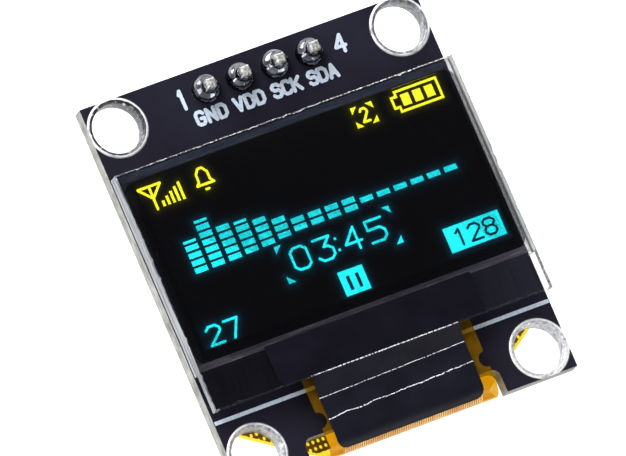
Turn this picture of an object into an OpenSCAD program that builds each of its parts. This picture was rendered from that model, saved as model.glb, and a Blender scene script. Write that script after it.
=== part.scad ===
// Small OLED display module: a glass panel taped to a circuit board with a
// four-pin header, its flexible circuit folded round the board's lower edge.
// Millimetres. The origin is the centre of the four mounting holes on the rear
// face of the laminate, +Z out of the display side, +Y towards the header.

/* [Circuit board] */
// Width of the board
board_w = 24.6; // [24.2:0.1:34]
// Height of the board
board_h = 27.2; // [27:0.1:36]
// Thickness of the bare laminate
board_t = 1.2; // [0.8:0.1:2]
// Thickness of the solder mask on each face
mask_t = 0.03; // [0.02:0.01:0.05]
// Thickness of the printed legend
legend_t = 0.03; // [0.02:0.01:0.05]
// Width of the strokes of the printed legend
legend_w = 0.24; // [0.16:0.01:0.28]
// Gap between the solder mask and each plated land
mask_gap = 0.04; // [0.02:0.01:0.08]
// Clearance beside the flexible circuit in the recess in the board's lower edge
notch_side = 1; // [0.55:0.05:1.85]
// Depth of that recess
notch_depth = 1.7; // [1.3:0.05:2.2]
// Corner radius of that recess
notch_r = 0.55; // [0.2:0.05:0.8]

/* [Mounting holes] */
// Clear diameter of each mounting hole
hole_d = 3.4; // [2.4:0.1:3.5]
// Distance from each hole's centre to the two nearest board edges
hole_inset = 1.95; // [1.9:0.05:2.6]
// Width of the plated ring round each mounting hole
ring_w = 0.35; // [0.2:0.05:0.5]
// Wall thickness of the plating in a hole
plating_t = 0.05; // [0.03:0.01:0.08]
// Height of a plated land over the laminate
land_t = 0.04; // [0.03:0.01:0.05]
// Radial gap that keeps a plated barrel clear of its drilled wall
barrel_gap = 0.01; // [0.005:0.005:0.02]

/* [Header] */
// Pitch of the header pins
pin_pitch = 2.54; // [2:0.01:2.6]
// Width of a square header pin
pin_w = 0.64; // [0.4:0.01:0.7]
// Overall length of a pin
pin_len = 11.5; // [8:0.1:15]
// How far a pin's tip stands over the front of the board
pin_tip = 1.8; // [1.5:0.1:2.2]
// Length of the taper at each end of a pin
pin_taper = 0.3; // [0.1:0.05:0.5]
// Distance from the pin row to the upper edge of the board
header_inset = 1.55; // [1.4:0.05:2]
// Thickness of the plastic header base
base_t = 2.5; // [1.5:0.1:3]
// Depth of the plastic header base across the row
base_depth = 2.5; // [2:0.1:2.6]
// Corner cut between the base's four units
base_chamfer = 0.45; // [0.2:0.05:0.6]
// Inner diameter of a plated header hole
pin_hole_d = 1.0; // [0.95:0.05:1.1]
// Diameter of the land round a header hole
pin_land_d = 1.8; // [1.5:0.05:2]
// Height of a solder joint over its land
solder_h = 1.35; // [0.8:0.05:1.4]

/* [Display panel] */
// How much wider both glass sheets are than the board
panel_over = 0.14; // [-1:0.02:1.4]
// Height of the front glass's bare ledge below the rear cover glass
ledge_h = 2.7; // [2.1:0.1:3.1]
// Thickness of the front glass
front_t = 0.62; // [0.4:0.01:0.8]
// Thickness of the rear cover glass
cover_t = 0.5; // [0.35:0.01:0.7]
// Sideways offset of the panel on the board
panel_x = 0.05; // [-0.2:0.01:0.2]
// Distance from the header pins down to the panel's upper edge
panel_down = 3.6; // [3.25:0.05:4.05]
// Thickness of the foam tape under the panel
foam_t = 0.25; // [0.15:0.01:0.5]
// Distance that the foam tape lies inside the rear cover glass
foam_inset = 0.4; // [0.2:0.1:1.5]
// Thickness of the seal between the two sheets
seal_t = 0.03; // [0.02:0.01:0.05]
// Width of the seal's bead
seal_w = 0.6; // [0.4:0.05:0.65]
// Depth of the pocket etched into the rear cover glass
pocket_depth = 0.25; // [0.15:0.01:0.3]
// Thickness of the drying sheet in that pocket
desiccant_t = 0.15; // [0.1:0.01:0.2]
// Thickness of the polariser film
polariser_t = 0.12; // [0.08:0.01:0.2]
// Height of the polariser film
polariser_h = 12.8; // [12.2:0.1:13]
// Strip of glass left bare above the polariser
polariser_top = 0.82; // [0.5:0.01:1]
// Strips of glass left bare to the left and right of the polariser
polariser_side = [0.14, 0.44];
// Corner radius of the polariser
polariser_r = 0.7; // [0.2:0.05:1]

/* [Lit picture] */
// Strip of panel beside the field of light-emitting dots
field_side = 1.07; // [0.87:0.01:1.4]
// Height of the field of light-emitting dots
field_h = 12.1; // [12:0.05:12.2]
// Sideways offset of that field on the panel
field_x = 0.13; // [-0.2:0.01:0.2]
// Strip of panel above that field
field_top = 0.65; // [0.65:0.01:0.9]
// Strip of rear cover glass below that field
field_below = 1.35; // [0.65:0.05:1.9]
// Thickness of the light-emitting layer
emitter_t = 0.012; // [0.01:0.001:0.014]
// Thickness of a lit field on the front glass
lit_t = 0.01; // [0.008:0.001:0.012]
// Width of one lit stroke
stroke = 0.17; // [0.12:0.01:0.2]

/* [Driver chip] */
// Size of the driver chip along the ledge, across it and through it
chip = [9.4, 0.95, 0.3];
// Distance from the rear cover glass to the chip
chip_gap = 0.3; // [0.2:0.05:0.4]
// Thickness of the conductive film that bonds the chip and the flexible circuit
bond_t = 0.02; // [0.01:0.01:0.03]

/* [Flexible circuit] */
// Thickness of the flexible circuit
flex_t = 0.1; // [0.06:0.01:0.12]
// Width of the flexible circuit between the panel and the fold
flex_w = 12.3; // [11.5:0.1:12.8]
// Sideways offset of the flexible circuit on the board
flex_x = 0.3; // [0:0.05:0.4]
// Overlap of the flexible circuit under the front glass
flex_bond = 0.7; // [0.5:0.05:0.8]
// Gap between the flexible circuit's tail and the rear of the board
flex_gap = 0.06; // [0.05:0.01:0.12]
// Distance from the board's lower edge up to the start of the fold
fold_in = 1.3; // [1:0.05:1.5]
// How far the fold stands out past the board's lower edge
fold_out = 0.05; // [0:0.01:0.2]
// Radius of the relief cut in each side of the flexible circuit
relief_r = 0.55; // [0.3:0.05:0.6]
// Distance from the panel's lower edge down to the centres of those cuts
relief_down = 2.83; // [2.6:0.01:3]
// Strip of board beside the tail that is soldered behind it
tail_side = 1.2; // [1:0.05:1.7]
// Length of that tail from the start of the fold
tail_len = 5; // [4.7:0.1:5.3]
// Slope of the tail's sides, where it widens from the fold
tail_angle = 34; // [31:0.5:36]
// Distance from each lower mounting hole's axis to the tail's sloping sides
tail_clear = 1.17; // [1.16:0.01:1.3]
// Number of soldered contacts on the tail
contacts = 30; // [20:1:30]
// Strip of tail beside the outermost contacts
contact_side = 0.95; // [0.5:0.05:2.4]

/* [Cover tape] */
// Thickness of the black tape over the ledge and the flexible circuit
tape_t = 0.06; // [0.04:0.01:0.1]
// Width of the tape on the glass ledge
tape_wide = 15; // [13:0.1:17]
// Sideways offset of the tape on the glass ledge
tape_wide_x = -0.05; // [-0.6:0.05:0.6]
// Strip of flexible circuit left bare on average beside the tape
tape_side = 0.8; // [0.55:0.05:1.2]
// Sideways offset of the tape on the flexible circuit
tape_narrow_x = -0.18; // [-0.4:0.02:0.4]
// Length of the tape on the glass ledge
tape_ledge = 2.85; // [2:0.05:2.95]
// How far the tape tents out from the glass before it meets the flexible circuit
tape_tent = 1.45; // [1.2:0.05:1.8]
// Angle through which the tape follows the fold
tape_wrap = 52.5; // [45:7.5:67.5]
// Gap between the tape and what it is stuck to
tape_gap = 0.01; // [0.01:0.005:0.02]

/* [Rear components] */
// Length, width and height of a chip capacitor
cap = [1.6, 0.8, 0.8];
// Length, width and height of a chip resistor
res = [1.6, 0.8, 0.45];
// Length of each metal end of a chip part
end_len = 0.3; // [0.2:0.02:0.4]
// Spacing of the parts along a row
part_pitch = 2.3; // [1.6:0.1:2.6]
// Distance from the flexible circuit's tail up to the capacitor row
cap_up = 3; // [2.2:0.1:3.6]
// Distance from the capacitor row up to the resistor row
res_up = 3.7; // [2.4:0.1:4.7]
// Distance from the header pins down to the voltage regulator
reg_down = 7.05; // [5.5:0.05:7.65]
// Length, depth and height of the regulator's body
reg = [2.9, 1.3, 1.1];

/* [Hidden] */
eps = 0.02;
pin_count = 4;
panel_w = board_w + panel_over;
notch_w = flex_w + 2 * notch_side;
lead_t = 0.15;
lead_w = 0.4;
base_mid = 0.64;
hole_x = board_w / 2 - hole_inset;
hole_y = board_h / 2 - hole_inset;
drill_d = hole_d + 2 * (plating_t + barrel_gap);
ring_d = hole_d + 2 * ring_w;
pin_drill_d = pin_hole_d + 2 * (plating_t + barrel_gap);
header_y = board_h / 2 - header_inset;
panel_top = header_y - panel_down;
front_z = board_t + mask_t;
rear_z = -mask_t;
cover_h = field_top + field_h + field_below;
front_h = cover_h + ledge_h;
panel_bottom = panel_top - front_h;
cover_bottom = panel_top - cover_h;
field_w = panel_w - 2 * field_side;
field_c = [panel_x + field_x, panel_top - field_top - field_h / 2];
foam_z = front_z;
cover_z = foam_z + foam_t;
seal_z = cover_z + cover_t;
glass_z = seal_z + seal_t;
film_z = glass_z + front_t;
fold_y = -board_h / 2 + fold_in;
tail_w = board_w - 2 * tail_side;
tail_end = fold_y + tail_len;
contact_pitch = (tail_w - 2 * contact_side) / (contacts - 1);
cap_row = tail_end + cap_up;
res_row = cap_row + res_up;
reg_row = header_y - reg_down;
tape_narrow = flex_w - 2 * tape_side;
back_z = rear_z - flex_gap - flex_t / 2;
bond_z = glass_z - bond_t - flex_t / 2;
mid_z = (bond_z + back_z) / 2;
fold_r = (bond_z - back_z) / 2;
fold_depth = fold_in + fold_out - flex_t / 2;
black = [0.13, 0.13, 0.17];
tin = [0.85, 0.86, 0.88];
amber = [0.62, 0.4, 0.06];
white_ink = [0.78, 0.84, 0.9];

// ---- shared shapes ----

module at_holes() {
    for (sx = [-1, 1], sy = [-1, 1]) translate([sx * hole_x, sy * hole_y, 0]) children();
}

module at_pin(i) {
    translate([(i - (pin_count - 1) / 2) * pin_pitch, header_y, 0]) children();
}

module at_pins() {
    for (i = [0 : pin_count - 1]) at_pin(i) children();
}

module rounded_rect(size, r) {
    translate([r, 0]) square([size[0] - 2 * r, size[1]]);
    translate([0, r]) square([size[0], size[1] - 2 * r]);
    for (x = [r, size[0] - r], y = [r, size[1] - r]) translate([x, y]) circle(r = r, $fn = 32);
}

// The board's outline with the recess in its lower edge
module board_outline() {
    difference() {
        square([board_w, board_h], center = true);
        translate([-notch_w / 2, -board_h / 2 - notch_depth])
            rounded_rect([notch_w, 2 * notch_depth], notch_r);
    }
}

// A straight stroke with round ends
module line(p, q, w) {
    d = q - p;
    translate(p) rotate(atan2(d[1], d[0])) translate([0, -w / 2]) square([norm(d), w]);
    for (e = [p, q]) translate(e) circle(d = w, $fn = 12);
}

module polyline(points, w) {
    for (i = [0 : len(points) - 2]) line(points[i], points[i + 1], w);
}

// The strokes of a character in a cell 4 wide and 6 high
function strokes(c) =
    c == "0" ? [[[1, 0], [0, 1], [0, 5], [1, 6], [3, 6], [4, 5], [4, 1], [3, 0], [1, 0]]] :
    c == "1" ? [[[1, 4.8], [2.3, 6], [2.3, 0]]] :
    c == "2" ? [[[0, 5], [1, 6], [3, 6], [4, 5], [4, 4], [0, 0], [4, 0]]] :
    c == "3" ? [[[0, 6], [4, 6], [2, 3.6], [3, 3.6], [4, 2.6], [4, 1], [3, 0], [1, 0], [0, 1]]] :
    c == "4" ? [[[3, 0], [3, 6], [0, 2], [4, 2]]] :
    c == "5" ? [[[4, 6], [0, 6], [0, 3.6], [3, 3.6], [4, 2.6], [4, 1], [3, 0], [0, 0]]] :
    c == "7" ? [[[0, 6], [4, 6], [1.5, 0]]] :
    c == "8" ? [[[1, 3.2], [0, 4.2], [0, 5], [1, 6], [3, 6], [4, 5], [4, 4.2], [3, 3.2], [1, 3.2],
                 [0, 2.2], [0, 1], [1, 0], [3, 0], [4, 1], [4, 2.2], [3, 3.2]]] :
    c == "A" ? [[[0, 0], [2, 6], [4, 0]], [[0.8, 2], [3.2, 2]]] :
    c == "C" ? [[[4, 5], [3, 6], [1, 6], [0, 5], [0, 1], [1, 0], [3, 0], [4, 1]]] :
    c == "D" ? [[[0, 0], [0, 6], [2.6, 6], [4, 4.6], [4, 1.4], [2.6, 0], [0, 0]]] :
    c == "G" ? [[[4, 5], [3, 6], [1, 6], [0, 5], [0, 1], [1, 0], [3, 0], [4, 1], [4, 2.8], [2.4, 2.8]]] :
    c == "K" ? [[[0, 0], [0, 6]], [[4, 6], [0, 2.4]], [[1.4, 3.6], [4, 0]]] :
    c == "N" ? [[[0, 0], [0, 6], [4, 0], [4, 6]]] :
    c == "S" ? [[[4, 5], [3, 6], [1, 6], [0, 5], [0, 4.2], [1, 3.2], [3, 3.2], [4, 2.2], [4, 1],
                 [3, 0], [1, 0], [0, 1]]] :
    c == "V" ? [[[0, 6], [2, 0], [4, 6]]] : [];

// One line of characters, size = [cell width, cell height], pitch from cell to cell
module lettering(characters, size, pitch, w) {
    for (i = [0 : len(characters) - 1])
        for (s = strokes(characters[i]))
            polyline([for (p = s) [i * pitch + p[0] * size[0] / 4, p[1] * size[1] / 6]], w);
}

// ---- circuit board ----

module circuit_board() {
    color([0.78, 0.77, 0.7]) difference() {
        linear_extrude(board_t) board_outline();
        at_holes() translate([0, 0, -1]) cylinder(d = drill_d, h = board_t + 2, $fn = 64);
        at_pins() translate([0, 0, -1]) cylinder(d = pin_drill_d, h = board_t + 2, $fn = 32);
    }
}

module solder_mask() {
    difference() {
        linear_extrude(mask_t) board_outline();
        at_holes() translate([0, 0, -1]) cylinder(d = ring_d + 2 * mask_gap, h = 2, $fn = 64);
        at_pins() translate([0, 0, -1]) cylinder(d = pin_land_d + 2 * mask_gap, h = 2, $fn = 32);
    }
}

module front_solder_mask() { color(black) translate([0, 0, board_t]) solder_mask(); }

module rear_solder_mask() { color(black) translate([0, 0, rear_z]) solder_mask(); }

// A plated hole: barrel and the lands on both faces
module plated_hole(bore, land) {
    difference() {
        union() {
            translate([0, 0, -land_t]) cylinder(d = bore + 2 * plating_t, h = board_t + 2 * land_t, $fn = 64);
            translate([0, 0, -land_t]) cylinder(d = land, h = land_t, $fn = 64);
            translate([0, 0, board_t]) cylinder(d = land, h = land_t, $fn = 64);
        }
        translate([0, 0, -1]) cylinder(d = bore, h = board_t + 2, $fn = 64);
    }
}

// The rings reach the board's edges and are cut off there
module hole_plating() {
    color(tin) intersection() {
        at_holes() plated_hole(hole_d, ring_d);
        translate([-board_w / 2, -board_h / 2, -1]) cube([board_w, board_h, board_t + 2]);
    }
}

module header_lands() { color(tin) at_pins() plated_hole(pin_hole_d, pin_land_d); }

module legend_ink() {
    text_y = header_y - 2.1;
    size = [0.52, 0.86];
    color(white_ink) translate([0, 0, front_z]) linear_extrude(legend_t) {
        translate([-5.13, text_y]) lettering(["G", "N", "D"], size, 0.8, legend_w);
        translate([-2.3, text_y]) lettering(["V", "D", "D"], size, 0.76, legend_w);
        translate([0.46, text_y]) lettering(["S", "C", "K"], size, 0.72, legend_w);
        translate([3.1, text_y]) lettering(["S", "D", "A"], size, 0.74, legend_w);
        translate([-5.75, header_y - 0.75]) lettering(["1"], [0.4, 1.25], 1, legend_w);
        translate([5.68, header_y - 0.7]) lettering(["4"], [0.7, 1.15], 1, legend_w);
        translate([-board_w / 2 + 0.05, panel_bottom - 0.68]) square([board_w - 0.1, 0.26]);
    }
}

// ---- header ----

module pin_profile() {
    top = front_z + pin_tip;
    polygon([
        [-pin_w / 2, top - pin_len + pin_taper], [-pin_w / 4, top - pin_len],
        [pin_w / 4, top - pin_len], [pin_w / 2, top - pin_len + pin_taper],
        [pin_w / 2, top - pin_taper / 2], [pin_w * 0.34, top],
        [-pin_w * 0.34, top], [-pin_w / 2, top - pin_taper / 2]
    ]);
}

module pin() {
    intersection() {
        rotate([90, 0, 0]) linear_extrude(pin_w, center = true) pin_profile();
        rotate([90, 0, 90]) linear_extrude(pin_w, center = true) pin_profile();
    }
}

module header_pin(i) { color([0.8, 0.79, 0.74]) at_pin(i) pin(); }

module header_base() {
    p = pin_pitch / 2;
    d = base_depth / 2;
    c = base_chamfer;
    color([0.07, 0.07, 0.08]) translate([0, 0, -land_t - base_t]) difference() {
        at_pins() linear_extrude(base_t) polygon([
            [-p, -d + c], [-p + c, -d], [p - c, -d], [p, -d + c],
            [p, d - c], [p - c, d], [-p + c, d], [-p, d - c]
        ]);
        at_pins() translate([-pin_w / 2, -pin_w / 2, -1]) cube([pin_w, pin_w, base_t + 2]);
    }
}

// A full fillet of solder: it fills the barrel and swells over the land
module solder_joint(i) {
    base_r = pin_land_d / 2;
    neck_r = pin_w * 0.78;
    z0 = board_t + land_t;
    color([0.72, 0.73, 0.76]) at_pin(i) difference() {
        rotate_extrude($fn = 48) polygon(concat(
            [[0, -land_t], [pin_hole_d / 2 - barrel_gap, -land_t], [pin_hole_d / 2 - barrel_gap, z0]],
            [[base_r - 0.04, z0]],
            [for (a = [0 : 10 : 90]) [
                neck_r + (base_r + 0.04 - neck_r) * cos(a),
                z0 + 0.3 + (solder_h - 0.3) * sin(a)
            ]],
            [[0, z0 + solder_h]]
        ));
        translate([-pin_w / 2, -pin_w / 2, -pin_len]) cube([pin_w, pin_w, 2 * pin_len]);
    }
}

// ---- display panel ----

// A sheet in line with the panel's upper edge
module panel_sheet(h, t) {
    translate([panel_x - panel_w / 2, panel_top - h, 0]) cube([panel_w, h, t]);
}

module foam_tape() {
    color([0.1, 0.1, 0.11]) translate([panel_x - panel_w / 2 + foam_inset, cover_bottom + foam_inset, foam_z])
        cube([panel_w - 2 * foam_inset, cover_h - 2 * foam_inset, foam_t]);
}

module inside_seal(inset, h) {
    translate([panel_x - panel_w / 2 + inset, cover_bottom + inset, 0])
        cube([panel_w - 2 * inset, cover_h - 2 * inset, h]);
}

module rear_cover_glass() {
    color([0.62, 0.65, 0.68]) difference() {
        translate([0, 0, cover_z]) panel_sheet(cover_h, cover_t);
        translate([0, 0, seal_z - pocket_depth]) inside_seal(seal_w + 0.2, 1);
    }
}

module desiccant_sheet() {
    color([0.86, 0.87, 0.86]) translate([0, 0, seal_z - pocket_depth]) inside_seal(seal_w + 1.2, desiccant_t);
}

module seal_bead() {
    color([0.5, 0.52, 0.5]) translate([0, 0, seal_z]) difference() {
        inside_seal(0.1, seal_t);
        translate([0, 0, -1]) inside_seal(seal_w, 2);
    }
}

module field_box(h) {
    translate([field_c[0] - field_w / 2, field_c[1] - field_h / 2, 0]) cube([field_w, field_h, h]);
}

module emitter_layer() {
    color([0.03, 0.03, 0.04]) translate([0, 0, glass_z - lit_t - emitter_t]) field_box(emitter_t);
}

module front_glass() {
    color([0.5, 0.55, 0.6, 0.35]) translate([0, 0, glass_z]) panel_sheet(front_h, front_t);
}

module polariser_film() {
    left = panel_x - panel_w / 2 + polariser_side[0];
    width = panel_w - polariser_side[0] - polariser_side[1];
    color([0.03, 0.03, 0.05, 0.6]) translate([left, panel_top - polariser_top - polariser_h, film_z])
        linear_extrude(polariser_t) rounded_rect([width, polariser_h], polariser_r);
}

// ---- lit picture ----

// A solid corner mark, turned by a, as at the corners of a focus frame
module corner_mark(p, a, s) {
    translate(p) rotate(a) polygon([[0, 0], [s, 0], [s * 0.72, -s * 0.28], [s * 0.28, -s * 0.72], [0, -s]]);
}

module corner_marks(low, high, s) {
    corner_mark([low[0], high[1]], 0, s);
    corner_mark(high, -90, s);
    corner_mark([high[0], low[1]], 180, s);
    corner_mark(low, 90, s);
}

module aerial() {
    polyline([[-0.8, 0.8], [0.8, 0.8], [0, -0.05], [-0.8, 0.8]], stroke);
    line([0, 0.8], [0, -0.8], stroke);
}

module signal_bars() {
    for (i = [0 : 4]) translate([i * 0.36, 0]) square([stroke * 1.1, 0.4 + 0.21 * i]);
}

module bell() {
    polyline([[-0.6, -0.35], [-0.4, -0.1], [-0.4, 0.4], [-0.15, 0.75], [0.15, 0.75], [0.4, 0.4],
              [0.4, -0.1], [0.6, -0.35], [-0.6, -0.35]], stroke);
    line([-0.1, -0.7], [0.1, -0.7], stroke);
}

module battery() {
    difference() {
        union() {
            translate([-1.6, -0.78]) square([3.2, 1.56]);
            translate([-1.95, -0.45]) square([0.5, 0.9]);
        }
        translate([-1.6 + stroke, -0.78 + stroke]) square([3.2 - 2 * stroke, 1.56 - 2 * stroke]);
        translate([-1.95 + stroke, -0.45 + stroke]) square([0.6, 0.9 - 2 * stroke]);
    }
    for (i = [0 : 2]) translate([-1.22 + i * 0.87, -0.4]) square([0.6, 0.8]);
}

module lit_fields() {
    translate([field_c[0], field_c[1], glass_z - lit_t]) linear_extrude(lit_t) children();
}

module lit_icons() {
    icon_y = field_h / 2 - 1.4;
    color([0.92, 0.92, 0.2]) lit_fields() {
        translate([-field_w / 2 + 0.85, icon_y - 0.05]) aerial();
        translate([-field_w / 2 + 1.28, icon_y - 0.82]) signal_bars();
        translate([-field_w / 2 + 4.55, icon_y]) bell();
        translate([field_w / 2 - 6.1, icon_y + 0.35]) corner_marks([-0.78, -0.72], [0.78, 0.72], 0.46);
        translate([field_w / 2 - 6.32, icon_y - 0.1]) lettering(["2"], [0.46, 0.9], 1, stroke);
        translate([field_w / 2 - 2.1, icon_y + 0.4]) battery();
    }
}

// Each column is a stack of blocks, with a thin one on top of a half height
module level_column(height) {
    pitch = 0.52;
    full = floor(height);
    for (k = [0 : full - 1]) translate([0, k * pitch]) square([0.9, 0.36]);
    if (height > full) translate([0, full * pitch]) square([0.9, 0.18]);
}

module level_meter() {
    heights = [4.5, 6.5, 5, 4.5, 4, 3, 2, 2, 2, 2, 1, 1, 1, 1, 1, 1];
    lift = [0, 0.02, 0.04, 0.1, 0.16, 0.28, 0.4, 0.4, 0.4, 0.4, 0.66, 0.66, 0.66, 0.66, 0.66, 0.66];
    pitch = (field_w - 4.04) / (len(heights) - 1);
    for (i = [0 : len(heights) - 1])
        translate([i * pitch - field_w / 2 + 1.5, lift[i]]) level_column(heights[i]);
}

module pause_sign() {
    difference() {
        square([1.8, 1.7], center = true);
        for (x = [-0.33, 0.33]) translate([x, -0.05]) square([0.24, 1.0], center = true);
    }
}

module lit_graphics() {
    color([0.2, 0.9, 0.93]) lit_fields() {
        translate([0, -1.1]) level_meter();
        translate([0, -2.5]) corner_marks([-4.2, -1.32], [4.2, 1.32], 0.5);
        translate([-3.35, -3.2]) lettering(["0", "3"], [1.15, 1.5], 1.75, stroke);
        for (y = [-2.85, -2.05]) translate([-0.09, y]) square(stroke, center = true);
        translate([0.45, -3.2]) lettering(["4", "5"], [1.15, 1.5], 1.75, stroke);
        translate([0, -field_h / 2 + 0.97]) pause_sign();
        translate([-field_w / 2 + 0.55, -field_h / 2 + 0.15]) lettering(["2", "7"], [0.95, 1.25], 1.35, stroke);
        translate([field_w / 2 - 2.3, -field_h / 2 + 1.27]) difference() {
            square([4.05, 1.74], center = true);
            translate([-1.48, -0.55]) lettering(["1", "2", "8"], [0.8, 1.1], 1.1, stroke);
        }
    }
}

// ---- driver chip and bonds behind the ledge ----

module driver_chip() {
    color([0.2, 0.21, 0.24])
        translate([panel_x - chip[0] / 2, cover_bottom - chip_gap - chip[1], glass_z - bond_t - chip[2]])
            cube(chip);
}

module chip_bond_film() {
    color([0.6, 0.55, 0.42])
        translate([panel_x - chip[0] / 2, cover_bottom - chip_gap - chip[1], glass_z - bond_t])
            cube([chip[0], chip[1], bond_t]);
}

module flex_bond_film() {
    color([0.6, 0.55, 0.42])
        translate([flex_x - flex_w / 2, panel_bottom, glass_z - bond_t]) cube([flex_w, flex_bond, bond_t]);
}

// ---- flexible circuit ----

// A point of the fold at angle a from its start, pushed out by d
function fold_point(a, d) = [fold_y - (fold_depth + d) * sin(a), mid_z + (fold_r + d) * cos(a)];

// The flexible circuit's middle line, seen from the side, as [y, z]
flex_path = concat(
    [[panel_bottom + flex_bond, bond_z]],
    [for (a = [0 : 7.5 : 180]) fold_point(a, 0)],
    [[tail_end, back_z]]
);

// The sheet's edge at one side of a path: side is +1 or -1, d the distance
function unit(v) = v / norm(v);
function path_dir(path, i) =
    unit(path[min(i + 1, len(path) - 1)] - path[max(i - 1, 0)]);
function offset_path(path, d) = [
    for (i = [0 : len(path) - 1]) let (u = path_dir(path, i)) path[i] + d * [u[1], -u[0]]
];
function reversed(list) = [for (i = [len(list) - 1 : -1 : 0]) list[i]];
function sheet_section(path, low, high) =
    concat(offset_path(path, low), reversed(offset_path(path, high)));

// A sheet that follows a side-view path, wide along X
module sheet(path, low, high, width) {
    rotate([90, 0, 90]) linear_extrude(width, center = true) polygon(sheet_section(path, low, high));
}

// The outline between the panel and the fold, with the relief cuts in its sides
module neck_outline() {
    difference() {
        translate([flex_x - flex_w / 2, -board_h]) square([flex_w, board_h]);
        for (s = [-1, 1]) translate([flex_x + s * flex_w / 2, panel_bottom - relief_down]) {
            circle(r = relief_r, $fn = 40);
            polygon([[-s * 0.2, 0], [0, relief_r + 0.12], [s, relief_r + 0.12], [s, 0]]);
        }
    }
}

// Height of the tail's sloping side at a distance x from the middle of the board
function slope_y(x) = -hole_y + tail_clear / cos(tail_angle) + (abs(x) - hole_x) * tan(tail_angle);

// The outline of the tail behind the board: it widens above the recess
module tail_outline() {
    left = flex_x - flex_w / 2;
    right = flex_x + flex_w / 2;
    polygon([
        [left, -board_h], [left, slope_y(left)],
        [-tail_w / 2, slope_y(tail_w / 2)], [-tail_w / 2, tail_end + 1],
        [tail_w / 2, tail_end + 1], [tail_w / 2, slope_y(tail_w / 2)],
        [right, slope_y(right)], [right, -board_h]
    ]);
}

module flex_circuit() {
    color(amber) intersection() {
        sheet(flex_path, -flex_t / 2, flex_t / 2, 2 * board_w);
        union() {
            translate([0, 0, mid_z - eps]) linear_extrude(board_h) neck_outline();
            translate([0, 0, mid_z - board_h]) linear_extrude(board_h) tail_outline();
        }
    }
}

// Each contact is a ridge of solder from the tail's end onto the board
module flex_solder_joints() {
    tail_z = back_z - flex_t / 2;
    top = tail_z - 0.12;
    color(tin) for (i = [0 : contacts - 1])
        translate([(i - (contacts - 1) / 2) * contact_pitch, 0, 0])
            rotate([90, 0, 90]) linear_extrude(0.6 * contact_pitch, center = true) polygon([
                [tail_end - 0.6, tail_z], [tail_end - 0.45, top], [tail_end + 0.1, top - 0.03],
                [tail_end + 0.45, top + 0.1], [tail_end + 0.65, rear_z], [tail_end + 0.01, rear_z],
                [tail_end + 0.01, tail_z]
            ]);
}

// ---- cover tape ----

// The tape's lower face: along the ledge, tented off its edge, then on the flexible circuit
tape_up = flex_t / 2 + tape_gap;
tape_path = concat(
    [[panel_bottom + tape_ledge, film_z + tape_gap], [panel_bottom - 0.02, film_z + tape_gap]],
    [[panel_bottom - tape_tent, bond_z + tape_up]],
    [for (a = [0 : 7.5 : tape_wrap]) fold_point(a, tape_up)]
);
tape_end = tape_path[len(tape_path) - 1][0];

module cover_tape() {
    color([0.07, 0.07, 0.09]) intersection() {
        sheet(tape_path, 0, tape_t, 2 * board_w);
        linear_extrude(board_h) {
            translate([tape_wide_x - tape_wide / 2, panel_bottom - 0.05])
                rounded_rect([tape_wide, board_h], 0.6);
            translate([flex_x + tape_narrow_x - tape_narrow / 2, tape_end])
                rounded_rect([tape_narrow, board_h / 2], 0.7);
        }
    }
}

// ---- rear components ----

cap_x = [for (i = [-4, -3, -2, 2, 3, 4]) i * part_pitch];
res_x = [for (i = [-4, -3, -2, -1, 1, 2, 3, 4]) i * part_pitch];
reg_cap_x = [-1.6 * part_pitch, 1.6 * part_pitch];

// Chip parts stand on the rear face with their length along Y
module at_caps() {
    for (x = cap_x) translate([x, cap_row, rear_z]) children();
    for (x = reg_cap_x) translate([x, reg_row, rear_z]) children();
}

module at_resistors() {
    for (x = res_x) translate([x, res_row, rear_z]) children();
}

module part_body(size) {
    translate([-size[1] / 2, -size[0] / 2 + end_len, -size[2]])
        cube([size[1], size[0] - 2 * end_len, size[2]]);
}

module part_ends(size) {
    for (s = [-1, 1])
        translate([-size[1] / 2, s * (size[0] - end_len) / 2 - end_len / 2, -size[2]])
            cube([size[1], end_len, size[2]]);
}

module capacitor_bodies() { color([0.68, 0.55, 0.4]) at_caps() part_body(cap); }

module capacitor_ends() { color(tin) at_caps() part_ends(cap); }

module resistor_bodies() { color([0.08, 0.08, 0.09]) at_resistors() part_body(res); }

module resistor_ends() { color(tin) at_resistors() part_ends(res); }

// A fillet of solder against each end of a chip part
module end_fillets(size) {
    for (s = [-1, 1]) mirror([0, s < 0 ? 1 : 0, 0]) translate([0, size[0] / 2, 0])
        rotate([90, 0, 90]) linear_extrude(size[1], center = true)
            polygon([[0, 0], [0.35, 0], [0.2, -0.08], [0, -size[2] * 0.6]]);
}

// The regulator's leads: one on the header side, two on the other
module at_leads() {
    for (x = [-0.95, 0.95]) translate([x, reg_row - reg[1] / 2, rear_z]) children();
    translate([0, reg_row + reg[1] / 2, rear_z]) mirror([0, 1, 0]) children();
}

module voltage_regulator() {
    color([0.08, 0.08, 0.09]) translate([-reg[0] / 2, reg_row - reg[1] / 2, rear_z - reg[2]])
        cube([reg[0], reg[1], reg[2] - 0.05]);
}

module regulator_leads() {
    mid = reg[2] / 2;
    color(tin) at_leads() rotate([90, 0, 90]) linear_extrude(lead_w, center = true) polygon([
        [0, -mid - lead_t / 2], [-0.3, -mid - lead_t / 2], [-0.45, -lead_t], [-0.75, -lead_t],
        [-0.75, 0], [-0.35, 0], [-0.2, -mid + lead_t / 2], [0, -mid + lead_t / 2]
    ]);
}

module part_solder() {
    color([0.75, 0.76, 0.78]) {
        at_caps() end_fillets(cap);
        at_resistors() end_fillets(res);
        at_leads() translate([0, -0.75, 0]) rotate([90, 0, 90]) linear_extrude(lead_w, center = true)
            polygon([[0, 0], [-0.3, 0], [-0.15, -0.06], [0, -lead_t * 0.9]]);
    }
}

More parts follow.
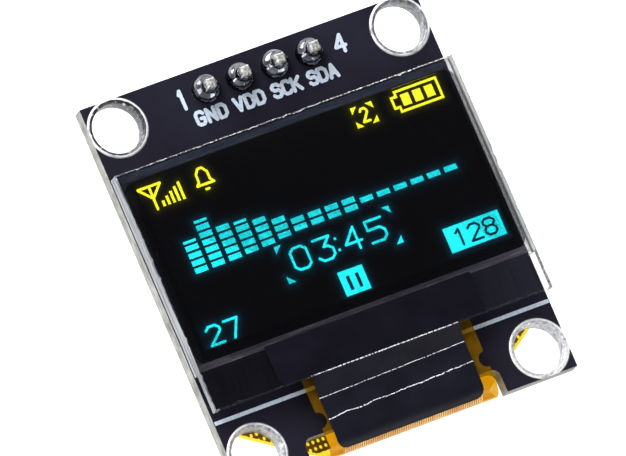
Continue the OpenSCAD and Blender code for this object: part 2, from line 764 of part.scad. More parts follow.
circuit_board();
front_solder_mask();
rear_solder_mask();
hole_plating();
header_lands();
header_base();
header_pin(0);  // header_pin_1
header_pin(1);  // header_pin_2
header_pin(2);  // header_pin_3
header_pin(3);  // header_pin_4
solder_joint(0);  // solder_joint_1
solder_joint(1);  // solder_joint_2
solder_joint(2);  // solder_joint_3
solder_joint(3);  // solder_joint_4
legend_ink();
foam_tape();
rear_cover_glass();
desiccant_sheet();
seal_bead();
emitter_layer();
lit_icons();
lit_graphics();
front_glass();
polariser_film();
driver_chip();
chip_bond_film();
flex_circuit();
flex_bond_film();
cover_tape();
flex_solder_joints();
voltage_regulator();
regulator_leads();
capacitor_bodies();
capacitor_ends();
resistor_bodies();
resistor_ends();
part_solder();
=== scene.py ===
import math

import bpy
from mathutils import Matrix, Vector, noise
from mathutils.bvhtree import BVHTree


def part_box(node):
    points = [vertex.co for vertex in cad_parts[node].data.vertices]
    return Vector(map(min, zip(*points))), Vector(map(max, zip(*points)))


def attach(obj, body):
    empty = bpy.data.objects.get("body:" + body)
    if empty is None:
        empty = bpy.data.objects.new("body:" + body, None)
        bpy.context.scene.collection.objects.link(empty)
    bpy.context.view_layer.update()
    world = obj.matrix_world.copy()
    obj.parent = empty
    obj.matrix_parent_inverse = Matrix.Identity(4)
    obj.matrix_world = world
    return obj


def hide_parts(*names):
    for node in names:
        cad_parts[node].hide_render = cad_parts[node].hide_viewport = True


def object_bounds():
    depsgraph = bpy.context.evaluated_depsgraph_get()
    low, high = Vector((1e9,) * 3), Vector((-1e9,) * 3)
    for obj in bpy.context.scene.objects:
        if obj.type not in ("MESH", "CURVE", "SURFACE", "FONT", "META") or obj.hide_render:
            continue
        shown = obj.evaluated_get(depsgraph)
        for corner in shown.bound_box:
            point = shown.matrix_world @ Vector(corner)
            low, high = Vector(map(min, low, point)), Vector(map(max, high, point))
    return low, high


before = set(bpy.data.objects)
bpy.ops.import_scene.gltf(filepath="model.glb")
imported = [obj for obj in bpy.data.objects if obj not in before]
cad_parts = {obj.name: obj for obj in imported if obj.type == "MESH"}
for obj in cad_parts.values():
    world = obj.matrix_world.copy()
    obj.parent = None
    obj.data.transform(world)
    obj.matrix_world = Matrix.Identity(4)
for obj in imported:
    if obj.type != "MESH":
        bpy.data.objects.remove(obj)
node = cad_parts
cad_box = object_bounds()
MM = 0.001


# The setting: a pale floor just under the header pins' points, a soft studio
# with bright walls and a dim ceiling, and the camera above the lower left.
def colour(red, green, blue):
    """A colour given as it looks on a screen, 0 to 255, in linear light."""
    shown = (red / 255, green / 255, blue / 255)
    return (*(c / 12.92 if c <= 0.04045 else ((c + 0.055) / 1.055) ** 2.4 for c in shown), 1.0)


def new_finish(name):
    """A new material, with its node tree and its shader."""
    finish = bpy.data.materials.new(name)
    finish.use_nodes = True
    tree = finish.node_tree
    return finish, tree, tree.nodes["Principled BSDF"]


def add(tree, kind, inputs=None, **settings):
    """Adds one node; inputs maps a socket to a value or to another node's output."""
    made = tree.nodes.new(kind)
    for key, value in settings.items():
        setattr(made, key, value)
    for key, value in (inputs or {}).items():
        socket = made.inputs[key]
        if isinstance(value, bpy.types.NodeSocket):
            tree.links.new(value, socket)
        else:
            socket.default_value = value
    return made


def maths(tree, operation, first, second=0.0, third=0.0):
    return add(tree, "ShaderNodeMath", {0: first, 1: second, 2: third}, operation=operation).outputs[0]


def ranged(tree, value, start, end, low=0.0, high=1.0, **settings):
    """Takes a value from start..end to low..high, and holds it at both ends."""
    inputs = {"Value": value, "From Min": start, "From Max": end, "To Min": low, "To Max": high}
    return add(tree, "ShaderNodeMapRange", inputs, **settings).outputs[0]


def axes(tree, vector):
    """The outputs X, Y and Z of a vector."""
    return add(tree, "ShaderNodeSeparateXYZ", {0: vector}).outputs


def place_lamp(name, where, size, watts):
    """A rectangular lamp that is aimed at the middle of the board."""
    lamp = bpy.data.lights.new(name, "AREA")
    lamp.shape = "RECTANGLE"
    lamp.size, lamp.size_y = size
    lamp.energy = watts
    holder = bpy.data.objects.new(name, lamp)
    holder.location = where
    holder.rotation_euler = (-Vector(where)).to_track_quat("-Z", "Y").to_euler()
    bpy.context.scene.collection.objects.link(holder)


scene = bpy.context.scene
scene.view_settings.view_transform = "Standard"

# The camera's columns are its right, up and backward directions and its place.
camera_data = bpy.data.cameras.new("camera")
camera_data.sensor_width = 36.0
camera_data.lens = 685.55
camera_data.clip_start = 0.01
camera_data.clip_end = 10.0
camera = bpy.data.objects.new("camera", camera_data)
camera.matrix_world = Matrix((
    (0.8884755921, 0.3246618038, -0.3243544902, -0.2528748),
    (-0.3907612488, 0.9058188131, -0.1637007154, -0.1262501),
    (0.2406590298, 0.2721892557, 0.9316631583, 0.7254703),
    (0.0, 0.0, 0.0, 1.0),
))
scene.collection.objects.link(camera)
scene.camera = camera

floor_gap = 0.02
floor_size = 4.0
bpy.ops.object.select_all(action="DESELECT")
bpy.ops.mesh.primitive_plane_add(size=floor_size, location=(0, 0, cad_box[0][2] - floor_gap * MM))
floor = bpy.context.object
floor.name = "floor"
paper, tree, shader = new_finish("floor_paper")
shader.inputs["Base Color"].default_value = (0.8, 0.8, 0.8, 1)
shader.inputs["Roughness"].default_value = 0.9
ray = add(tree, "ShaderNodeLightPath").outputs
seen = maths(tree, "MAXIMUM", ray["Is Camera Ray"], ray["Is Glossy Ray"])
seen = maths(tree, "MAXIMUM", seen, ray["Is Transmission Ray"])
glow = add(tree, "ShaderNodeEmission", {"Color": (1, 1, 1, 1), "Strength": 0.8})
both = add(tree, "ShaderNodeAddShader", {0: glow.outputs[0], 1: shader.outputs[0]})
lit = add(tree, "ShaderNodeMixShader", {0: 0.7, 1: shader.outputs[0], 2: both.outputs[0]})
picked = add(tree, "ShaderNodeMixShader", {0: seen, 1: shader.outputs[0], 2: lit.outputs[0]})
tree.links.new(picked.outputs[0], tree.nodes["Material Output"].inputs["Surface"])
floor.data.materials.append(paper)

studio = bpy.data.worlds.new("studio")
studio.use_nodes = True
scene.world = studio
tree = studio.node_tree
background = tree.nodes["Background"]
upward = axes(tree, add(tree, "ShaderNodeTexCoord").outputs["Generated"])["Z"]
dimmed = ranged(tree, upward, 0.45, 0.86, 0.8, 0.10, interpolation_type="SMOOTHSTEP")
seen = add(tree, "ShaderNodeLightPath").outputs["Is Camera Ray"]
level = add(tree, "ShaderNodeMix", {0: seen, 2: dimmed, 3: 1.0}, data_type="FLOAT")
tree.links.new(level.outputs[0], background.inputs["Strength"])
background.inputs["Color"].default_value = (1, 1, 1, 1)

place_lamp("lamp_above_header", (-0.14, 0.46, 0.25), (0.50, 0.32), 5.2)
place_lamp("lamp_left", (-0.46, -0.02, 0.20), (0.30, 0.22), 1.2)
place_lamp("lamp_below", (0.18, -0.46, 0.22), (0.34, 0.20), 1.0)


# The circuit board: routed glass-fibre laminate, whose cut edge shows fine
# layers of weave, with a near-black satin solder mask printed on both faces.
def dress(finish, *names):
    """Gives a finish to solids that keep their own shape."""
    for name in names:
        held = node[name].data.materials
        held.clear()
        held.append(finish)


def place_on(tree, scale=(1000, 1000, 1000)):
    """Object coordinates, in millimetres unless a scale says otherwise."""
    where = add(tree, "ShaderNodeTexCoord").outputs["Object"]
    return add(tree, "ShaderNodeMapping", {"Vector": where, "Scale": scale}).outputs[0]


def specks(tree, vector, scale, detail=3.0, roughness=0.5):
    inputs = {"Vector": vector, "Scale": scale, "Detail": detail, "Roughness": roughness}
    return add(tree, "ShaderNodeTexNoise", inputs).outputs[0]


def shades(tree, factor, *stops):
    """A colour ramp; each stop is a place and a colour as it looks, 0 to 255."""
    ramp = add(tree, "ShaderNodeValToRGB", {0: factor})
    ends = ramp.color_ramp.elements
    while len(ends) < len(stops):
        ends.new(0.5)
    for end, (position, *shade) in zip(ends, stops):
        end.position = position
        end.color = colour(*shade)
    return ramp.outputs[0]


def relief(tree, shader, height, depth, strength=1.0):
    """Bump of the given depth in millimetres."""
    made = add(tree, "ShaderNodeBump", {"Height": height, "Distance": depth * MM, "Strength": strength})
    tree.links.new(made.outputs[0], shader.inputs["Normal"])


board_side, board_end = 12.3, 13.6
board_front = 1.2

laminate, tree, shader = new_finish("routed_laminate")
layers = specks(tree, place_on(tree, (900, 900, 9000)), 1.0, 4.0, 0.6)
blotches = specks(tree, place_on(tree), 0.9, 3.0)
mixed = maths(tree, "MULTIPLY_ADD", blotches, 0.45, maths(tree, "MULTIPLY", layers, 0.55))
weave = shades(tree, mixed, (0.34, 92, 90, 82), (0.5, 142, 143, 137), (0.66, 182, 184, 181))
tree.links.new(weave, shader.inputs["Base Color"])
shader.inputs["Roughness"].default_value = 0.75
relief(tree, shader, layers, 0.02, 0.8)
dress(laminate, "circuit_board")

mask, tree, shader = new_finish("satin_solder_mask")
grain = specks(tree, place_on(tree), 14.0, 4.0)
cloud = specks(tree, place_on(tree), 0.25, 2.0)
tree.links.new(shades(tree, cloud, (0.3, 24, 23, 34), (0.7, 32, 31, 45)), shader.inputs["Base Color"])
tree.links.new(ranged(tree, grain, 0.0, 1.0, 0.42, 0.6), shader.inputs["Roughness"])
shader.inputs["Specular IOR Level"].default_value = 0.12
relief(tree, shader, grain, 0.003, 0.4)
dress(mask, "front_solder_mask", "rear_solder_mask")


# Tin plating: levelled solder on the lands and barrels of the mounting holes,
# swollen on the lands and milled off where a ring meets the board's edge. Its
# colour is mottled and streaked, with a painted highlight round each land's
# outer edge and painted shade that darkens the rings towards the upper left.
def turned(name, where, profile, segments):
    """A closed ring round an upright axis, extruded and scaled from each profile point to the next."""
    bpy.ops.object.select_all(action="DESELECT")
    radius, height = profile[0]
    at = (where[0] * MM, where[1] * MM)
    bpy.ops.mesh.primitive_circle_add(vertices=segments, radius=radius * MM, location=(*at, height * MM))
    piece = bpy.context.object
    piece.name = name
    bpy.ops.object.mode_set(mode="EDIT")
    for next_radius, next_height in profile[1:]:
        bpy.ops.mesh.extrude_edges_move(TRANSFORM_OT_translate={"value": (0, 0, (next_height - height) * MM)})
        grow = next_radius / radius
        bpy.ops.transform.resize(value=(grow, grow, 1), center_override=(*at, next_height * MM))
        radius, height = next_radius, next_height
    bpy.ops.mesh.select_all(action="SELECT")
    bpy.ops.mesh.remove_doubles(threshold=0.0005 * MM)
    bpy.ops.mesh.normals_make_consistent(inside=False)
    bpy.ops.object.mode_set(mode="OBJECT")
    bpy.ops.object.transform_apply(location=True, rotation=True, scale=True)
    bpy.ops.object.shade_smooth()
    return piece


def uneven(piece, size, depth):
    """Swells and dents a piece by a cloudy pattern of the given size and depth, in millimetres."""
    cloud = bpy.data.textures.new(piece.name + "_clouds", "CLOUDS")
    cloud.noise_scale = size * MM
    bpy.context.view_layer.objects.active = piece
    swell = piece.modifiers.new("uneven", "DISPLACE")
    swell.texture = cloud
    swell.strength = depth * MM
    bpy.ops.object.modifier_apply(modifier="uneven")


def join(name, pieces):
    bpy.ops.object.select_all(action="DESELECT")
    for piece in pieces:
        piece.select_set(True)
    bpy.context.view_layer.objects.active = pieces[0]
    bpy.ops.object.join()
    pieces[0].name = name
    return pieces[0]


def clothe(piece, *finishes):
    """Gives finishes to a new piece; all its faces take the first one."""
    piece.data.materials.clear()
    for finish in finishes:
        piece.data.materials.append(finish)


def blend(tree, factor, first, second):
    """The first colour where the factor is 0, and the second where it is 1."""
    return add(tree, "ShaderNodeMix", {0: factor, 6: first, 7: second}, data_type="RGBA").outputs[2]


hole_side, hole_end = 10.35, 11.65

tin, tree, shader = new_finish("levelled_tin")
where = place_on(tree)
at = axes(tree, where)
mottle = specks(tree, where, 1.1, 5.0, 0.65)
streak = specks(tree, where, 3.2, 5.0, 0.7)
aside = [maths(tree, "POWER", maths(tree, "SUBTRACT", maths(tree, "ABSOLUTE", at[axis]), middle), 2.0)
         for axis, middle in (("X", hole_side), ("Y", hole_end))]
radius = maths(tree, "SQRT", maths(tree, "ADD", *aside))
# Painted highlight: the outer edge of each land is coloured pale.
rim = ranged(tree, maths(tree, "MULTIPLY_ADD", streak, 0.10, radius), 1.93, 1.97)
# Painted shade: the rings are coloured darker towards the upper left of the board.
corner = maths(tree, "MULTIPLY_ADD", at["X"], -0.35, maths(tree, "MULTIPLY", at["Y"], 0.7))
painted_corner_shade = ranged(tree, corner, -11.8, 11.8, 0.25, 1.0)
dark = shades(tree, streak, (0.42, 14, 15, 19), (0.52, 36, 38, 44), (0.60, 76, 79, 87), (0.66, 222, 224, 229))
light = shades(tree, streak, (0.36, 150, 153, 166), (0.5, 214, 216, 222), (0.6, 246, 246, 248))
pale = shades(tree, mottle, (0.34, 168, 171, 182), (0.45, 226, 228, 232), (0.54, 250, 250, 251))
tree.links.new(blend(tree, rim, blend(tree, painted_corner_shade, light, dark), pale), shader.inputs["Base Color"])
shader.inputs["Metallic"].default_value = 0.2
shader.inputs["Roughness"].default_value = 0.35
relief(tree, shader, streak, 0.03, 0.5)

ring_profile = (
    (1.70, 0.02), (1.70, 0.4), (1.70, 0.8), (1.70, 1.10), (1.72, 1.17), (1.77, 1.215), (1.84, 1.25),
    (1.90, 1.27), (1.97, 1.262), (2.03, 1.24), (2.05, 1.20), (1.78, 1.19), (1.78, 0.01), (2.05, 0.0),
    (2.03, -0.012), (1.94, -0.02), (1.85, -0.045), (1.78, -0.045), (1.72, -0.03), (1.70, 0.02))
rings = []
for side in (-1, 1):
    for end in (-1, 1):
        ring = turned("ring", (side * hole_side, end * hole_end), ring_profile, 120)
        uneven(ring, 0.7, 0.03)
        edges = (((side * board_side * MM, 0, 0), (side, 0, 0)), ((0, end * board_end * MM, 0), (0, end, 0)))
        bpy.ops.object.mode_set(mode="EDIT")
        for edge, outward in edges:
            bpy.ops.mesh.select_all(action="SELECT")
            bpy.ops.mesh.bisect(plane_co=edge, plane_no=outward, use_fill=True, clear_outer=True, threshold=0.0001 * MM)
        bpy.ops.object.mode_set(mode="OBJECT")
        rings.append(ring)
rings = join("mounting_rings", rings)
clothe(rings, tin)
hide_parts("hole_plating")
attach(rings, "root")


# Small tinned metal: the header's lands, the regulator's leads and the chip
# parts' ends, plated evenly, and the reflowed solder that holds them.
plating, tree, shader = new_finish("bright_tin_plating")
cover = specks(tree, place_on(tree), 4.0, 4.0)
tree.links.new(shades(tree, cover, (0.3, 150, 152, 158), (0.7, 214, 216, 220)), shader.inputs["Base Color"])
shader.inputs["Metallic"].default_value = 0.8
shader.inputs["Roughness"].default_value = 0.32
relief(tree, shader, cover, 0.02, 0.4)
dress(plating, "header_lands", "regulator_leads", "capacitor_ends", "resistor_ends")
dress(plating, "flex_solder_joints", "part_solder")


# The header: a black moulded base behind the board and four square brass pins
# with a tin finish, pushed through it. The regulator's case is moulded too.
moulding, tree, shader = new_finish("moulded_black")
pores = specks(tree, place_on(tree), 9.0, 4.0)
tree.links.new(shades(tree, pores, (0.3, 24, 24, 25), (0.7, 38, 38, 39)), shader.inputs["Base Color"])
shader.inputs["Roughness"].default_value = 0.5
relief(tree, shader, pores, 0.01, 0.5)
dress(moulding, "header_base", "voltage_regulator")

pin_tin, tree, shader = new_finish("tinned_pin")
drawn = specks(tree, place_on(tree, (6000, 6000, 300)), 1.0, 3.0)
tree.links.new(shades(tree, drawn, (0.34, 118, 117, 113), (0.5, 184, 183, 178), (0.66, 232, 232, 228)),
               shader.inputs["Base Color"])
shader.inputs["Metallic"].default_value = 0.45
shader.inputs["Roughness"].default_value = 0.35
relief(tree, shader, drawn, 0.004, 0.5)
dress(pin_tin, "header_pin_1", "header_pin_2", "header_pin_3", "header_pin_4")


# The four solder joints: full, mirror-bright fillets that swell over their
# lands and climb the pins, each a little different, with a painted highlight in a thin near-white band round the foot.
solder, tree, shader = new_finish("bright_solder")
where = place_on(tree)
ripple = specks(tree, where, 1.5, 3.0)
flux = specks(tree, where, 5.0, 4.0, 0.7)
height = axes(tree, where)["Z"]
# Painted highlight: a thin near-white band round the foot of each joint, just above the board.
below_rim = maths(tree, "LESS_THAN", height, 1.29)
painted_foot_highlight = maths(tree, "MULTIPLY", below_rim, maths(tree, "GREATER_THAN", height, board_front))
body = shades(tree, ripple, (0.34, 74, 74, 80), (0.5, 98, 99, 106), (0.66, 130, 132, 140))
tree.links.new(blend(tree, painted_foot_highlight, body, colour(240, 241, 244)), shader.inputs["Base Color"])
shader.inputs["Metallic"].default_value = 1.0
tree.links.new(ranged(tree, flux, 0.45, 0.75, 0.04, 0.12), shader.inputs["Roughness"])
relief(tree, shader, maths(tree, "MULTIPLY_ADD", flux, 0.25, maths(tree, "MULTIPLY", ripple, 0.75)), 0.05, 0.5)

pin_pitch = 2.54
pin_row = 12.05
foot = ((0.30, 1.20), (0.92, 1.20), (0.985, 1.235), (0.995, 1.265), (0.98, 1.30), (0.965, 1.35))
belly = ((0.97, 1.44), (0.96, 1.56), (0.92, 1.69), (0.86, 1.81), (0.77, 1.92), (0.68, 2.00))
neck = ((0.59, 2.07), (0.52, 2.15), (0.47, 2.27), (0.43, 2.42), (0.38, 2.52), (0.30, 2.48), (0.30, 1.20))
for number, (swell, lean) in enumerate(((1.0, 0.06), (0.97, -0.02), (1.02, 0.03), (0.98, 0.0)), 1):
    swollen = tuple((radius * swell, height) for radius, height in belly)
    middle = ((number - 2.5) * pin_pitch, pin_row)
    joint = turned(f"solder_fillet_{number}", middle, foot + swollen + neck, 64)
    uneven(joint, 1.1, 0.12)
    bpy.ops.object.mode_set(mode="EDIT")
    bpy.ops.mesh.select_all(action="SELECT")
    bpy.ops.transform.translate(value=(lean * MM, 0.02 * MM, 0))
    bpy.ops.object.mode_set(mode="OBJECT")
    clothe(joint, solder)
    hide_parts(f"solder_joint_{number}")
    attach(joint, "root")


# The printed legend: pale blue-white ink screened over the mask, a little
# uneven in its cover.
ink, tree, shader = new_finish("legend_ink")
cover = specks(tree, place_on(tree), 7.0, 4.0)
tree.links.new(shades(tree, cover, (0.3, 176, 192, 212), (0.6, 206, 219, 234)), shader.inputs["Base Color"])
shader.inputs["Roughness"].default_value = 0.6
relief(tree, shader, cover, 0.01, 0.5)
dress(ink, "legend_ink")


# Under the panel: black foam tape that holds it on the board, and in the rear
# sheet's pocket a pale drying sheet.
foam, tree, shader = new_finish("foam_tape")
cells = add(tree, "ShaderNodeTexVoronoi", {"Vector": place_on(tree), "Scale": 12.0}).outputs[0]
tree.links.new(shades(tree, cells, (0.0, 14, 14, 15), (0.7, 34, 34, 35)), shader.inputs["Base Color"])
shader.inputs["Roughness"].default_value = 0.9
relief(tree, shader, cells, 0.04, 0.8)
dress(foam, "foam_tape")

drying, tree, shader = new_finish("drying_sheet")
tree.links.new(shades(tree, specks(tree, place_on(tree), 8.0), (0.3, 190, 190, 188), (0.7, 214, 214, 212)),
               shader.inputs["Base Color"])
shader.inputs["Roughness"].default_value = 0.9
dress(drying, "desiccant_sheet")


# The rear sheet of glass: dark in its faces. Its cut walls are scored along
# the sheet, with painted light and shade by side: grey at the left, painted bright at the right and painted dark at the
# two ends.
def scored(tree):
    """Fine streaks along a cut wall of glass."""
    return specks(tree, place_on(tree, (500, 250, 9000)), 1.0, 5.0, 0.6)


def left_wall(tree, score):
    return shades(tree, score, (0.38, 58, 61, 68), (0.46, 122, 126, 132), (0.6, 160, 163, 168))


rear_glass, tree, shader = new_finish("rear_sheet_glass")
tilt = axes(tree, add(tree, "ShaderNodeNewGeometry").outputs["Normal"])["Z"]
wall = maths(tree, "LESS_THAN", maths(tree, "ABSOLUTE", tilt), 0.5)
at = axes(tree, place_on(tree))
right = maths(tree, "GREATER_THAN", at["X"], 12.1)
left = maths(tree, "LESS_THAN", at["X"], -12.1)
score = scored(tree)
# Painted light and shade on the walls: the ends are coloured dark and the right wall bright.
walls = blend(tree, left, shades(tree, score, (0.35, 44, 48, 60), (0.6, 92, 96, 108)), left_wall(tree, score))
walls = blend(tree, right, walls, shades(tree, score, (0.35, 196, 199, 204), (0.6, 248, 249, 250)))
tree.links.new(blend(tree, wall, colour(30, 33, 42), walls), shader.inputs["Base Color"])
tree.links.new(ranged(tree, wall, 0.0, 1.0, 0.05, 0.4), shader.inputs["Roughness"])
wall_cover = maths(tree, "MULTIPLY_ADD", maths(tree, "ADD", left, right), 0.45, 0.4)
tree.links.new(maths(tree, "MULTIPLY_ADD", wall, wall_cover, 0.08), shader.inputs["Alpha"])
shader.inputs["IOR"].default_value = 1.5
relief(tree, shader, score, 0.02, 0.5)
dress(rear_glass, "rear_cover_glass")


# The front sheet's flat faces are clear; over the ledge its rear face carries
# painted shade: a dark, streaked film for the shadow under the ledge, lighter towards the right, which stops short of
# the cut edge.
clear_glass, tree, shader = new_finish("front_sheet_glass")
at = axes(tree, place_on(tree))
# Painted shade: a dark streaked film over the ledge stands in for the shadow there, lighter towards the right.
ledge = ranged(tree, at["Y"], -5.62, -5.70)
inside = ranged(tree, at["X"], 11.9, 11.5)
painted_ledge_shade = maths(tree, "MULTIPLY", ledge, inside)
shade_streaks = specks(tree, place_on(tree, (5000, 400, 1000)), 1.0, 3.0)
far = ranged(tree, at["X"], 4.0, 11.0)
near_shade = shades(tree, shade_streaks, (0.3, 9, 8, 13), (0.7, 17, 16, 24))
far_shade = shades(tree, shade_streaks, (0.3, 29, 29, 40), (0.7, 35, 35, 47))
tree.links.new(blend(tree, far, near_shade, far_shade), shader.inputs["Base Color"])
tree.links.new(maths(tree, "MULTIPLY_ADD", painted_ledge_shade, 0.55, 0.05), shader.inputs["Alpha"])
shader.inputs["Roughness"].default_value = 0.04
shader.inputs["IOR"].default_value = 1.5

# Its cut walls are snapped glass, painted with light and shade differently on
# each side: scored grey at the left, painted light with painted shade on its rim at the right, and a broken line of
# painted highlight along the rim on top.
broken_glass, tree, shader = new_finish("broken_glass_edge")
at = axes(tree, place_on(tree))
left = maths(tree, "LESS_THAN", at["X"], -12.0)
right = maths(tree, "GREATER_THAN", at["X"], 12.1)
top = maths(tree, "GREATER_THAN", at["Y"], 8.2)
low = maths(tree, "LESS_THAN", at["Y"], -8.1)
ledge = maths(tree, "LESS_THAN", at["Y"], -5.6)
rim = maths(tree, "GREATER_THAN", at["Z"], 2.555)
chips = specks(tree, place_on(tree, (1500, 1500, 3000)), 1.6, 5.0, 0.7)
score = scored(tree)
dots = specks(tree, place_on(tree, (7000, 7000, 2000)), 1.0, 3.0, 0.7)
plain = shades(tree, chips, (0.38, 44, 47, 56), (0.52, 120, 124, 134), (0.66, 226, 229, 234))
shade = blend(tree, left, plain, left_wall(tree, score))
# Painted light: the right wall, away from the ledge, is coloured bright.
painted_right_light = maths(tree, "MULTIPLY", right, maths(tree, "SUBTRACT", 1.0, ledge))
shade = blend(tree, painted_right_light, shade, shades(tree, score, (0.35, 190, 194, 198), (0.55, 246, 247, 248)))
# Painted shade: the right wall's rim and its part beside the ledge are coloured dark, in dots.
painted_right_shade = maths(tree, "MULTIPLY", right, maths(tree, "MAXIMUM", rim, ledge))
shade = blend(tree, painted_right_shade, shade, shades(tree, dots, (0.42, 30, 31, 35), (0.62, 170, 172, 176)))
# Painted highlight: a broken near-white line along the top rim.
painted_top_highlight = maths(tree, "MULTIPLY", top, rim)
shade = blend(tree, painted_top_highlight, shade, shades(tree, dots, (0.44, 70, 75, 86), (0.62, 250, 251, 252)))
tree.links.new(shade, shader.inputs["Base Color"])
shader.inputs["Roughness"].default_value = 0.35
shader.inputs["IOR"].default_value = 1.5
solid = ranged(tree, chips, 0.35, 0.6, 0.35, 0.8)
solid = maths(tree, "MULTIPLY", solid, maths(tree, "MULTIPLY_ADD", low, -0.88, 1.0))
to_right = ranged(tree, at["X"], -12.0, 3.0, 0.45, 1.0)
dotted = maths(tree, "MULTIPLY", ranged(tree, dots, 0.42, 0.56, 0.15, 0.95), to_right)
solid = add(tree, "ShaderNodeMix", {0: painted_top_highlight, 2: solid, 3: dotted}, data_type="FLOAT").outputs[0]
side_cover = maths(tree, "MULTIPLY", maths(tree, "MAXIMUM", left, right), 0.88)
tree.links.new(maths(tree, "MAXIMUM", solid, side_cover), shader.inputs["Alpha"])
relief(tree, shader, chips, 0.04, 0.8)

# The front sheet itself: scored and snapped from a larger one, so its rim is
# a fine uneven chamfer with small chips.
sheet_middle = (0.05 * MM, 0.05 * MM, 2.01 * MM)
sheet_width, sheet_height, sheet_thickness = 24.74, 16.8, 0.62
rim_chamfer = 0.07
bpy.ops.object.select_all(action="DESELECT")
bpy.ops.mesh.primitive_plane_add(size=1.0, location=sheet_middle)
sheet = bpy.context.object
sheet.name = "front_sheet"
bpy.ops.object.mode_set(mode="EDIT")
bpy.ops.transform.resize(value=(sheet_width * MM, sheet_height * MM, 1), center_override=sheet_middle)
bpy.ops.mesh.delete(type="ONLY_FACE")
bpy.ops.mesh.select_all(action="SELECT")
bpy.ops.mesh.subdivide(number_cuts=140)
bpy.ops.mesh.edge_face_add()
bpy.ops.mesh.extrude_region_move(TRANSFORM_OT_translate={"value": (0, 0, sheet_thickness * MM)})
bpy.ops.mesh.region_to_loop()
bpy.ops.mesh.bevel(offset=rim_chamfer * MM, segments=1)
bpy.ops.object.mode_set(mode="OBJECT")
bpy.ops.object.transform_apply(location=True, rotation=True, scale=True)
for corner in sheet.data.vertices:
    x, y, z = (c / MM for c in corner.co)
    chip = max(0.0, noise.noise((x * 2.3, y * 2.3, 4.0)) - 0.12) * 0.22
    wave = noise.noise((x * 6.0, y * 6.0, 9.0)) * 0.018
    if z > 2.5:
        inward = Vector((-1 if x > 12.2 else 1 if x < -12.1 else 0, -1 if y > 8.2 else 1 if y < -8.1 else 0, 0))
        on_top = z > 2.62
        corner.co += inward * (max(0.0, wave) + (chip if on_top else chip * 0.3)) * MM
        corner.co.z -= (0.0 if on_top else chip * 0.6) * MM
clothe(sheet, clear_glass, broken_glass)
for face in sheet.data.polygons:
    whole_face = abs(face.normal.z) > 0.98 and face.area > 10 * MM ** 2
    face.material_index = 0 if whole_face else 1
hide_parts("front_glass")
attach(sheet, "root")


# The seal: a bead of half-clear cured resin run round the rim between the two
# sheets, with streaks along it, brighter where it shows at the ledge.
seal, tree, shader = new_finish("cured_seal")
streak = specks(tree, place_on(tree, (280, 3600, 1000)), 1.0, 4.0, 0.6)
at_ledge = ranged(tree, axes(tree, place_on(tree))["Y"], -4.9, -5.05)
bright = shades(tree, streak, (0.35, 118, 110, 132), (0.6, 160, 153, 172), (0.7, 232, 228, 236))
plain = shades(tree, streak, (0.35, 52, 59, 80), (0.65, 90, 99, 124))
tree.links.new(blend(tree, at_ledge, plain, bright), shader.inputs["Base Color"])
shader.inputs["Roughness"].default_value = 0.4
shader.inputs["Alpha"].default_value = 0.3
dress(seal, "seal_bead")


# The light-emitting stack: near-black films on the front sheet, in which a
# little of the light from the lit dots spreads sideways.
spread_reach = 0.16
low, high = (Vector(c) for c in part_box("emitter_layer"))
middle = Vector(((low.x + high.x) / 2, (low.y + high.y) / 2, high.z))
bpy.ops.object.select_all(action="DESELECT")
bpy.ops.mesh.primitive_grid_add(x_subdivisions=190, y_subdivisions=104, size=1.0, location=middle)
layer = bpy.context.object
layer.name = "emitting_stack"
bpy.ops.object.mode_set(mode="EDIT")
bpy.ops.transform.resize(value=(high.x - low.x, high.y - low.y, 1), center_override=middle)
bpy.ops.object.mode_set(mode="OBJECT")
bpy.ops.object.transform_apply(location=True, rotation=True, scale=True)
sources = []
for name in ("lit_icons", "lit_graphics"):
    shape = node[name].data
    sources.append(BVHTree.FromPolygons([v.co for v in shape.vertices], [p.vertices for p in shape.polygons]))
spread = layer.data.color_attributes.new("spread", "FLOAT_COLOR", "POINT")
for corner, value in zip(layer.data.vertices, spread.data):
    yellow, cyan = (math.exp(-s.find_nearest(corner.co)[3] / (spread_reach * MM)) for s in sources)
    value.color = (0.09 * yellow, 0.085 * yellow + 0.10 * cyan, 0.17 * cyan, 1)
stack, tree, shader = new_finish("light_emitting_stack")
tree.links.new(shades(tree, specks(tree, place_on(tree), 2.0), (0.3, 5, 5, 8), (0.7, 10, 10, 14)),
               shader.inputs["Base Color"])
spread_light = add(tree, "ShaderNodeAttribute", attribute_name="spread").outputs["Color"]
tree.links.new(spread_light, shader.inputs["Emission Color"])
shader.inputs["Emission Strength"].default_value = 1.0
shader.inputs["Roughness"].default_value = 0.3
clothe(layer, stack)
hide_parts("emitter_layer")
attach(layer, "root")


# The lit picture: square dots of light on the front glass's rear face, yellow
# in the upper strip and cyan below, with a fine dark grid between the dots.
def lit_finish(name, shade, level):
    dot_width, dot_height = 0.177, 0.184
    finish, tree, shader = new_finish(name)
    at = axes(tree, place_on(tree, (1000 / dot_width, 1000 / dot_height, 1000)))
    gap_x, gap_y = (ranged(tree, maths(tree, "PINGPONG", at[axis], 0.5), 0.0, 0.16, 0.72, 1.0) for axis in "XY")
    strength = maths(tree, "MULTIPLY", maths(tree, "MULTIPLY", gap_x, gap_y), level)
    shader.inputs["Base Color"].default_value = (0.01, 0.01, 0.01, 1)
    shader.inputs["Emission Color"].default_value = shade
    tree.links.new(strength, shader.inputs["Emission Strength"])
    return finish


dress(lit_finish("lit_yellow", colour(240, 240, 40), 4.0), "lit_icons")
dress(lit_finish("lit_cyan", colour(30, 234, 242), 3.8), "lit_graphics")


